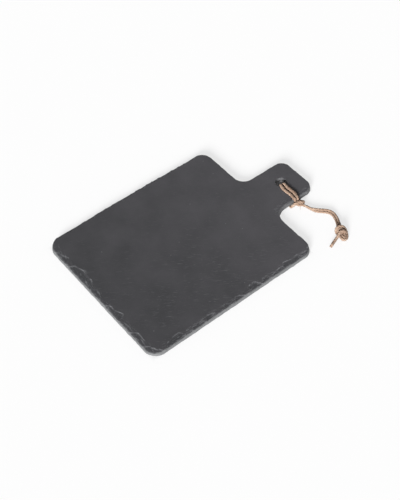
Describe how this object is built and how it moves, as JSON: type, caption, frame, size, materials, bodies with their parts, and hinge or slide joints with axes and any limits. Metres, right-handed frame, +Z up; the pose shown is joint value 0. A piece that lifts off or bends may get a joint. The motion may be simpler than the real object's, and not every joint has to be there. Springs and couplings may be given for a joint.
{
  "type": "cheese board",
  "caption": "Flat slate cheese board with rounded corners, a short handle, a drilled hanging hole and a knotted jute twine hitched through the hole.",
  "frame": {"origin": "on the table, under the middle of the board's outline, the twine left out", "axes": "+X along the board from its front edge to the end of the handle, +Y across it to the far long side, +Z up out of the serving face"},
  "size_m": [0.3, 0.2102, 0.011],
  "materials": {
    "slate": "split slate, matt, with chipped edges",
    "foam_rubber": "matt foam rubber pad",
    "jute": "twisted jute twine with loose fibres"
  },
  "bodies": {
    "board": {"slate_board": "slate", "foot_pad_front_near": "foam_rubber", "foot_pad_front_far": "foam_rubber", "foot_pad_rear_near": "foam_rubber", "foot_pad_rear_far": "foam_rubber", "twine_hitch": "jute"},
    "tail_near": {"twine_tail_near_a": "jute", "twine_tail_near_b": "jute"},
    "tail_far": {"twine_tail_far_a": "jute", "twine_tail_far_b": "jute", "twine_knot": "jute", "twine_end_a": "jute", "twine_end_b": "jute"}
  },
  "joints": [
    {"name": "tail_swing", "type": "hinge", "parent": "board", "child": "tail_near", "pos_m": [0.12425, -0.0439, 0.0034], "axis": [0, 0, 1], "range_deg": [-15, 75]},
    {"name": "knot_lift", "type": "hinge", "parent": "tail_near", "child": "tail_far", "pos_m": [0.14045, -0.0689, 0.00165], "axis": [-0.9439, -0.3301, 0], "range_deg": [0, 85]}
  ]
}
